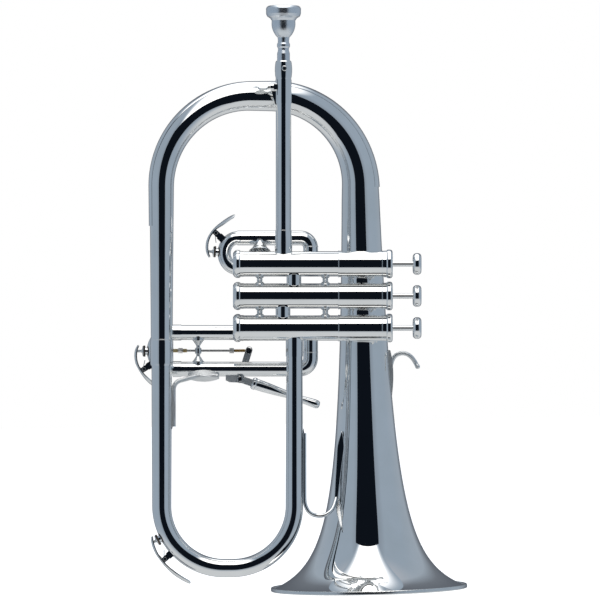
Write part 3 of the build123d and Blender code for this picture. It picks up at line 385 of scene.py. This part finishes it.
bottom_points = [
    spot(LEFT_X, 183.9) / MM,
    spot(LEFT_X, BOTTOM_Z) / MM,
    spot(LEG_X, BOTTOM_Z) / MM,
    spot(LEG_X, 193.6) / MM,
]
bottom = along_bow(bottom_points, BOTTOM_BEND, ROW_SPACING)
bottom_length = bottom[-1][2] + TAPER_BEYOND
outside = []
inside = []
for place, heading, distance in bottom:
    radius = 7.9 - 1.8 * distance / bottom_length
    outside.append(ring(place, heading, radius))
    inside.append(ring(place, heading, radius - BOTTOM_WALL))
bottom_bow = skin("bottom_bow_skin", outside + inside[::-1], True, silver, "horn")
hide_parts("bottom_bow")

GUARD_LOW = 312.0
GUARD_HALF = math.radians(38)
GUARD_ROWS = 26
GUARD_UNDER = 0.03
GUARD_OVER = 0.83
guard_points = [Vector((0, 0, GUARD_LOW)), bow_points[1], bow_points[2], spot(LEFT_X, 281.5) / MM]
loops = []
for place, heading, distance in along_bow(guard_points, TOP_BEND, ROW_SPACING):
    side = BACK.cross(heading).normalized()
    other = heading.cross(side)
    base = bow_radius(GUARD_LOW - FLARE_TOP + distance)
    section = []
    for row in range(GUARD_ROWS + 1):
        turn = GUARD_HALF * (2 * row / GUARD_ROWS - 1)
        section.append((turn, base + GUARD_UNDER))
    for row in range(GUARD_ROWS + 1):
        share = 1 - 2 * row / GUARD_ROWS
        # the sheet's long edges are rubbed round
        section.append((GUARD_HALF * share, base + GUARD_OVER - 0.72 * abs(share) ** 12))
    loops.append([(place + (side * math.cos(turn) + other * math.sin(turn)) * radius) * MM
                  for turn, radius in section])
guard = skin("guard_skin", loops, False, silver, "horn")
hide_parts("top_bow_guard")

# ---- pearl inlays and felts of the valves ----

for number, z in enumerate(VALVE_Z, start=1):
    body = f"valve_{number}"
    turned(f"pearl_{number}", spot(39.0, z), RIGHT,
           [(0.01, 0.02), (5.12, 0.02), (5.16, 0.35), (4.9, 0.64), (3.6, 0.78), (2.0, 0.79), (0.01, 0.79)],
           pearl, body)
    turned(f"cap_felt_{number}", spot(17.0, z), RIGHT,
           [(4.45, 0.02), (5.95, 0.02), (5.95, 0.5), (5.6, 0.75), (4.8, 0.75), (4.45, 0.5)],
           felt, "horn")

# ---- water keys: cork pads, springs and slotted screws ----

def polar(centre, angle, distance):
    turn = math.radians(angle)
    return centre[0] + distance * math.cos(turn), centre[1] + distance * math.sin(turn)


def slotted_head(name, centre, axis, radius, height, turn, body):
    """Screw head cap in two halves with a slot between them."""
    axis = axis.normalized()
    side = axis.orthogonal().normalized()
    side = Matrix.Rotation(turn, 3, axis) @ side
    other = axis.cross(side)
    gap = 0.16 * radius
    start = math.asin(gap / radius)
    corners = []
    faces = []
    for sign in (1, -1):
        first = len(corners)
        steps = 14
        for along, scale in ((-0.05, 1.0), (height * 0.55, 1.0), (height, 0.82)):
            for step in range(steps + 1):
                bearing = start + (math.pi - 2 * start) * step / steps
                out = math.cos(bearing) * radius * scale
                up = max(math.sin(bearing) * radius * scale, gap) * sign
                corners.append(centre + (side * out * sign + other * up + axis * along) * MM)
        count = steps + 1
        for row in (0, 1):
            for step in range(count):
                follow = (step + 1) % count
                faces.append((first + row * count + step, first + row * count + follow,
                              first + (row + 1) * count + follow, first + (row + 1) * count + step))
        faces.append(tuple(first + 2 * count + step for step in range(count)))
        faces.append(tuple(first + step for step in reversed(range(count))))
    mesh = bpy.data.meshes.new(name)
    mesh.from_pydata(corners, [], faces)
    return finish_piece(name, mesh, steel, body)


def coil(centre, axis, side, radius, turns, pitch, count=14):
    """Points of a coil in metres; centre in metres."""
    other = axis.cross(side)
    points = []
    for step in range(int(turns * count) + 1):
        turn = 2 * math.pi * step / count
        points.append(centre + (side * math.cos(turn) + other * math.sin(turn)) * radius * MM
                      + axis * pitch * step / count * MM)
    return points


# centre and radius of the bend's surface, screw angle and lift, pad angle and lift, depth,
# and the body that holds the screw
KEYS = {
    "slide_1": ((-102.1, 260.65), 15.4, 136.5, 7.2, 176.5, 8.8, SLIDE_Y, "slide_1"),
    "slide_3": ((-152.8, 185.1), 19.2, 213.5, 6.4, 180.5, 9.3, SLIDE_Y, "slide_3"),
    "bow": ((-112.0, 66.1), 55.25, 222.0, 5.8, 207.3, 7.6, VALVE_Y, "horn"),
}
for name, (centre, surface, screw_angle, lift, pad_angle, pad_lift, depth, holder_body) in KEYS.items():
    out = direction(pad_angle)
    middle = spot(*polar(centre, pad_angle, surface), depth)
    turned(f"{name}_cork", middle, out,
           [(0.01, 1.13), (4.0, 1.13), (4.32, 1.35), (4.36, 2.0), (4.28, 2.58), (0.01, 2.6)],
           cork, f"{name}_key")
    screw = spot(*polar(centre, screw_angle, surface + lift), depth)
    slotted_head(f"{name}_screw_head", screw - BACK * 4.3 * MM, BACK * -1, 1.45, 0.5, 0.7, holder_body)
    # spring coiled beside the fork, one end on the tube and one under the lever
    radial = direction(screw_angle)
    sense = 1 if pad_angle > screw_angle else -1
    around_bend = (UP * math.cos(math.radians(screw_angle))
                   - RIGHT * math.sin(math.radians(screw_angle))) * sense
    begin = screw + BACK * 3.7 * MM
    turns = coil(begin, BACK, radial, 1.5, 3.0, 0.52)
    lever_end = begin + (around_bend * 7.5 + radial * (pad_lift - lift + 0.2)) * MM
    tube_end = turns[-1] + (around_bend * 5.5 - radial * (lift - 0.6)) * MM
    wire(f"{name}_spring", [lever_end, *turns, tube_end], 0.28, steel, f"{name}_key")

# ---- levers of the water keys: crowned strips that broaden to a thumb plate ----

def blended(values, share):
    """Value a share of the way through evenly spaced values, smoothly joined."""
    place = share * (len(values) - 1)
    index = min(int(place), len(values) - 2)
    part = place - index
    ends = [values[max(index - 1, 0)], values[index], values[index + 1], values[min(index + 2, len(values) - 1)]]
    slope_in = (ends[2] - ends[0]) / 2
    slope_out = (ends[3] - ends[1]) / 2
    cube = part ** 3
    square = part ** 2
    return ((2 * cube - 3 * square + 1) * ends[1] + (cube - 2 * square + part) * slope_in
            + (3 * square - 2 * cube) * ends[2] + (cube - square) * slope_out)


LEVER_ROWS = 44
LEVER_HALF = 9
# angle of the lever's tip, height of the lever over its screw and at its tip
TIPS = {
    "slide_1": (93.6, 10.8, 14.4),
    "slide_3": (252.0, 10.2, 12.0),
    "bow": (246.5, 9.6, 10.2),
}
for name, (tip_angle, screw_height, tip_height) in TIPS.items():
    centre, surface, screw_angle, lift, pad_angle, pad_lift, depth, _ = KEYS[name]
    sense = 1 if tip_angle > screw_angle else -1
    angles = [pad_angle - sense * math.degrees(4.6 / (surface + 6)), pad_angle, (pad_angle + screw_angle) / 2,
              screw_angle, (screw_angle + tip_angle) / 2, tip_angle]
    lifts = [pad_lift - 1.9, pad_lift, (pad_lift + screw_height) / 2 + 0.5, screw_height,
             screw_height + 0.9, tip_height]
    widths = [2.6, 3.3, 2.6, 2.9, 3.9, 2.6]
    crowns = [1.0, 1.3, 1.2, 1.2, 1.8, 0.7]
    tilts = [0, 6, 8, 4, 12, 22]
    loops = []
    for row in range(LEVER_ROWS + 1):
        share = row / LEVER_ROWS
        angle = blended(angles, share)
        height = surface + blended(lifts, share)
        out = direction(angle)
        end_round = math.sqrt(max(1 - max(0.0, (abs(2 * share - 1) - 0.9) / 0.1) ** 2, 0.02))
        half = blended(widths, share) * end_round
        crown = blended(crowns, share) * end_round
        lean = math.radians(blended(tilts, share))
        middle = spot(*polar(centre, angle, height - 0.5), depth) / MM
        section = []
        for step in range(LEVER_HALF + 1):
            across = 2 * step / LEVER_HALF - 1
            section.append((across * half, 0.55 - crown * across ** 2 * 0.75))
        for step in range(LEVER_HALF + 1):
            across = 1 - 2 * step / LEVER_HALF
            section.append((across * half * 0.97, -0.35 - crown * across ** 2 * 0.75))
        loops.append([
            (middle + BACK * (wide * math.cos(lean) - tall * math.sin(lean))
             + out * (wide * math.sin(lean) + tall * math.cos(lean))) * MM
            for wide, tall in section
        ])
    body = f"{name}_key"
    strip = skin(f"{name}_lever", loops, False, satin, body)
    node = "bow_water_key" if name == "bow" else f"{name}_water_key"
    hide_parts(node)
    # lug on the screw, and the stem and cup of the cork
    screw = spot(*polar(centre, screw_angle, surface + lift), depth)
    out = direction(screw_angle)
    side = BACK.cross(out)
    top = screw_height - lift - 0.4
    loops = []
    for deep in (-1.8, 1.8):
        loop = []
        for step in range(17):
            turn_angle = math.pi * step / 16
            loop.append(screw + (side * math.cos(turn_angle) * 2.0 - out * math.sin(turn_angle) * 2.0
                                 + BACK * deep) * MM)
        loop.append(screw + (side * -2.0 + out * top + BACK * deep) * MM)
        loop.append(screw + (side * 2.0 + out * top + BACK * deep) * MM)
        loops.append(loop)
    skin(f"{name}_lug", loops, False, silver, body)
    turned(f"{name}_cup", spot(*polar(centre, pad_angle, surface), depth), direction(pad_angle),
           [(0.01, 2.55), (3.9, 2.55), (4.1, 2.7), (3.9, 3.2), (1.5, 3.7), (1.0, 4.4),
            (1.0, pad_lift - 0.6), (0.01, pad_lift - 0.6)],
           silver, body)

# ---- trigger handle: socket, waist and rounded end ----

HANDLE_ANGLE = -18.3
HANDLE_OUTLINE = [
    (0.01, 9.4), (3.4, 9.4), (3.9, 9.7), (4.5, 10.5), (4.7, 11.2), (4.7, 12.4), (4.45, 13.0), (4.05, 13.3),
    (4.2, 13.9), (4.25, 15.0), (4.15, 19.0), (3.95, 23.0), (3.6, 28.0), (3.2, 33.0), (2.8, 38.0),
    (2.55, 43.0), (2.6, 48.0), (2.85, 53.0), (3.15, 58.0), (3.3, 61.0), (3.15, 63.0), (2.6, 64.2),
    (1.4, 64.8), (0.01, 64.9),
]
handle = turned("handle", spot(PIVOT_X, PIVOT_Z, -3.4), direction(HANDLE_ANGLE), HANDLE_OUTLINE, silver,
                "trigger")
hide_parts("trigger_handle")

# ---- bell brace: wire from the leg's leaf plate to the bell's leaf plates ----

LEAF_ROWS = 36
LEAF_AROUND = 24


def bell_front(x, z, clearance):
    """Depth of the bell's near surface beside its axis at this place of the valve frame."""
    place = spot(x, z, 0) / MM
    reach = flare(place.z) + clearance
    return -math.sqrt(reach * reach - place.x * place.x)


def leaf(name, route, widths, thick, finish, body):
    """Long leaf-shaped plate with rounded back along evenly spaced places of the valve frame."""
    places = [spot(x, z, y) / MM for x, z, y in route]

    def along(share):
        return Vector([blended([place[axis] for place in places], share) for axis in range(3)])

    loops = []
    for row in range(LEAF_ROWS + 1):
        share = row / LEAF_ROWS
        middle = along(share)
        heading = (along(min(share + 0.02, 1.0)) - along(max(share - 0.02, 0.0))).normalized()
        outward = (heading * heading.y - BACK).normalized()
        side = heading.cross(outward)
        half = max(blended(widths, share), 0.15)
        loop = []
        for step in range(LEAF_AROUND):
            turn = 2 * math.pi * step / LEAF_AROUND
            wide = math.copysign(abs(math.cos(turn)) ** 0.5, math.cos(turn)) * half
            tall = math.copysign(abs(math.sin(turn)) ** 0.45, math.sin(turn)) * min(thick, half)
            loop.append((middle + side * wide + outward * tall) * MM)
        loops.append(loop)
    return skin(name, loops, False, finish, body)


foot = [(x, z, bell_front(x, z, 0.5)) for x, z in ((-24.9, 73), (-24.2, 64), (-22.8, 55), (-21.0, 45.5))]
arm = [(x, z, bell_front(x, z, lift)) for x, z, lift in
       ((-21.2, 123.0, 0.7), (-22.0, 112, 1.2), (-23.2, 99, 1.6), (-24.6, 84, 2.0), (-25.9, 68, 3.0))]
first_leaf = leaf("bell_arm", arm, [0.3, 2.8, 2.5, 2.0, 1.5], 0.9, silver, "horn")
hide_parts("bell_brace")
leaf("bell_foot", foot, [1.2, 1.8, 1.5, 0.2], 0.8, satin, "horn")
wire("bell_brace_wire",
     [spot(-50.2, 122), spot(-50.2, 98), spot(-50.2, 76), spot(-50.0, 67), spot(-46.5, 60.4),
      spot(-41.0, 58.2, -30), spot(-35.0, 58.4, -30), spot(-30.0, 61.5, -28.5), spot(-27.2, 66, -26),
      spot(-25.7, 72, bell_front(-25.7, 72, 2.4))],
     1.55, silver, "horn")
plate = [(-51.0, 125.5, VALVE_Y), (-50.9, 114, VALVE_Y), (-50.9, 97, VALVE_Y), (-50.9, 80, VALVE_Y),
         (-51.0, 68.5, VALVE_Y)]
leaf("leg_leaf", plate, [0.2, 1.5, 2.1, 1.5, 0.2], 1.2, silver, "horn")

# ---- fine joint rings ----

def joint_ring(name, origin, axis, radius, body):
    turned(name, origin, axis,
           [(radius - 0.25, -0.34), (radius + 0.1, -0.3), (radius + 0.2, -0.12), (radius + 0.2, 0.12),
            (radius + 0.1, 0.3), (radius - 0.25, 0.34)],
           silver, body)


for number, z in enumerate(VALVE_Z, start=1):
    joint_ring(f"sleeve_ring_{number}", spot(-23.9, z), RIGHT, 10.08, "horn")
    joint_ring(f"cap_ring_{number}", spot(9.6, z), RIGHT, 10.08, "horn")
joint_ring("leadpipe_ring_top", spot(LEADPIPE_X, 277.9), UP, 5.98, "horn")
joint_ring("elbow_ring_1", spot(ELBOW_X, 265.8, SLIDE_Y), UP, 5.7, "horn")
joint_ring("elbow_ring_3", spot(ELBOW_X, 184.0, SLIDE_Y), UP, 5.7, "horn")
joint_ring("left_tube_ring", spot(LEFT_X, 194.0), UP, 8.85, "horn")

# ---- trigger: slotted pivot, return spring and threaded rod ends ----

slotted_head("pivot_screw_head", spot(PIVOT_X, PIVOT_Z, -18.8), BACK * -1, 2.25, 0.6, 0.3, "horn")
begin = spot(PIVOT_X, PIVOT_Z, -4.4)
turns = coil(begin, BACK, RIGHT, 2.7, 4.0, 0.6)
wire("trigger_spring", [begin + (RIGHT * 11 - UP * 2.2) * MM, *turns,
                        turns[-1] - (RIGHT * 9 - UP * 0.6) * MM], 0.35, steel, "trigger")


def thread(name, start, stop, core, crest, pitch=0.62):
    """Threaded stretch of the rod between two x places."""
    outline = [(core - 0.3, start), (core, start)]
    place = start
    while place + pitch < stop:
        outline += [(crest, place + pitch / 2), (core, place + pitch)]
        place += pitch
    outline += [(core - 0.3, place)]
    turned(name, spot(0, ROD_Z, ROD_Y), RIGHT, outline, brass, "slide_3", around=40)


thread("rod_thread_left", -151.9, -148.0, 1.31, 1.5)
thread("rod_thread_middle", -144.2, -141.0, 1.31, 1.5)
thread("rod_thread_right", -104.6, -95.8, 0.93, 1.25)

# screw head on the receiver
slotted_head("receiver_screw_head", spot(-65.5, 402.4, -38.75), BACK * -1, 1.45, 0.3, 1.0, "mouthpipe")

# ---- studio ----

def panel(name, corners, finish):
    """Flat studio surface that lights and is mirrored, but isn't in the picture."""
    mesh = bpy.data.meshes.new(name)
    mesh.from_pydata(corners, [], [tuple(range(len(corners)))])
    mesh.materials.append(finish)
    piece = bpy.data.objects.new(name, mesh)
    scene.collection.objects.link(piece)
    piece.visible_camera = False
    return piece


# Table: plain and pale, with a glow of its own. The silver mirrors the tent below instead of it.
floor_mesh = bpy.data.meshes.new("floor")
floor_mesh.from_pydata([(-2.5, -1.2, 0), (2.5, -1.2, 0), (2.5, 5, 0), (-2.5, 5, 0)], [], [(0, 1, 2, 3)])
floor = bpy.data.objects.new("floor", floor_mesh)
scene.collection.objects.link(floor)
floor.location.z = -0.0002
floor.visible_glossy = False
paper, tree = blank_material("paper")
shader = tree.add("ShaderNodeBsdfPrincipled", Roughness=0.8)
shader.inputs["Base Color"].default_value = (0.8, 0.8, 0.8, 1)
shader.inputs["Emission Color"].default_value = (1, 1, 1, 1)
shader.inputs["Emission Strength"].default_value = 0.9
tree.surface(shader)
floor_mesh.materials.append(paper)

# Dark opening of the tent, in front of the horn.
shade, tree = blank_material("opening")
glow = tree.add("ShaderNodeEmission", Strength=1.0)
glow.inputs["Color"].default_value = (0.004, 0.006, 0.010, 1)
tree.surface(glow)
OPENING_Y = -1.05
OPENING_LEFT, OPENING_RIGHT = -0.67, 0.53
OPENING_LOW, OPENING_HIGH = -0.36, 1.04
panel("opening",
      [(OPENING_LEFT, OPENING_Y, OPENING_LOW), (OPENING_RIGHT, OPENING_Y, OPENING_LOW),
       (OPENING_RIGHT, OPENING_Y, OPENING_HIGH), (OPENING_LEFT, OPENING_Y, OPENING_HIGH)],
      shade)

# Overhead soft light: an ellipse that fades at its edge, with its front cut off by the opening's top.
LIGHT_PLACE = Vector((-0.03, -0.95, 1.06))
LIGHT_HALF = (0.54, 2.0)
TENT_GREY = (0.3, 0.365, 0.44)
cloth, tree = blank_material("soft_light")
place = tree.add("ShaderNodeTexCoord")
split = tree.add("ShaderNodeSeparateXYZ")
tree.link(place.outputs["Object"], split.inputs[0])
part_x = tree.math("DIVIDE", split.outputs["X"], LIGHT_HALF[0])
part_y = tree.math("DIVIDE", split.outputs["Y"], LIGHT_HALF[1])
reach = tree.math("SQRT", tree.math("ADD", tree.math("MULTIPLY", part_x, part_x),
                                    tree.math("MULTIPLY", part_y, part_y)))
fade = tree.math("SUBTRACT", 1.0, tree.step(reach, 0.55, 1.0))
glow = tree.add("ShaderNodeEmission")
tint = tree.ramp(fade, [(0.0, TENT_GREY), (0.6, (0.9, 0.92, 0.95)), (1.0, (1, 1, 1))])
tree.link(tint, glow.inputs["Color"])
tree.link(tree.math("ADD", 1.0, tree.math("MULTIPLY", fade, 0.65)), glow.inputs["Strength"])
tree.surface(glow)
turns = [2 * math.pi * step / 96 for step in range(96)]
soft_light = panel("soft_light",
                   [(math.cos(turn) * LIGHT_HALF[0], math.sin(turn) * LIGHT_HALF[1], 0) for turn in turns],
                   cloth)
soft_light.location = LIGHT_PLACE

# Surroundings: grey tent, darker behind and lighter below. The camera sees a plain white backdrop in its place.
world = bpy.data.worlds.new("studio")
scene.world = world
world.use_nodes = True
tree = Nodes(world.node_tree)
place = tree.add("ShaderNodeTexCoord")
split = tree.add("ShaderNodeSeparateXYZ")
tree.link(place.outputs["Generated"], split.inputs[0])
x, y, z = split.outputs
bearing = tree.math("ABSOLUTE", tree.math("ARCTAN2", x, tree.math("MULTIPLY", y, -1.0)))
rise = tree.math("ARCSINE", z)
DEGREE = math.pi / 180
share = tree.math("DIVIDE", bearing, math.pi)
tent = tree.ramp(share, [
    (0.17, (0.25, 0.3, 0.36)),
    (0.25, TENT_GREY),
    (0.5, TENT_GREY),
    (0.75, (0.33, 0.385, 0.45)),
    (0.86, (0.16, 0.18, 0.21)),
    (1.0, (0.08, 0.09, 0.11)),
])
# places of a colour Mix node's colour sockets
MIX_FIRST, MIX_SECOND, MIX_RESULT = 6, 7, 2
below = tree.step(tree.math("MULTIPLY", rise, -1.0), 14 * DEGREE, 46 * DEGREE)
ground = tree.add("ShaderNodeMix", data_type="RGBA")
tree.link(below, ground.inputs["Factor"])
tree.link(tent, ground.inputs[MIX_FIRST])
ground.inputs[MIX_SECOND].default_value = (0.59, 0.615, 0.635, 1)
above = tree.step(rise, 50 * DEGREE, 75 * DEGREE)
ceiling = tree.add("ShaderNodeMix", data_type="RGBA")
tree.link(above, ceiling.inputs["Factor"])
tree.link(ground.outputs[MIX_RESULT], ceiling.inputs[MIX_FIRST])
ceiling.inputs[MIX_SECOND].default_value = (0.42, 0.45, 0.5, 1)
around = tree.add("ShaderNodeBackground")
tree.link(ceiling.outputs[MIX_RESULT], around.inputs["Color"])
backdrop = tree.add("ShaderNodeBackground")
backdrop.inputs["Color"].default_value = (1, 1, 1, 1)
path = tree.add("ShaderNodeLightPath")
choice = tree.add("ShaderNodeMixShader")
tree.link(path.outputs["Is Camera Ray"], choice.inputs[0])
tree.link(around.outputs[0], choice.inputs[1])
tree.link(backdrop.outputs[0], choice.inputs[2])
tree.surface(choice, "ShaderNodeOutputWorld")
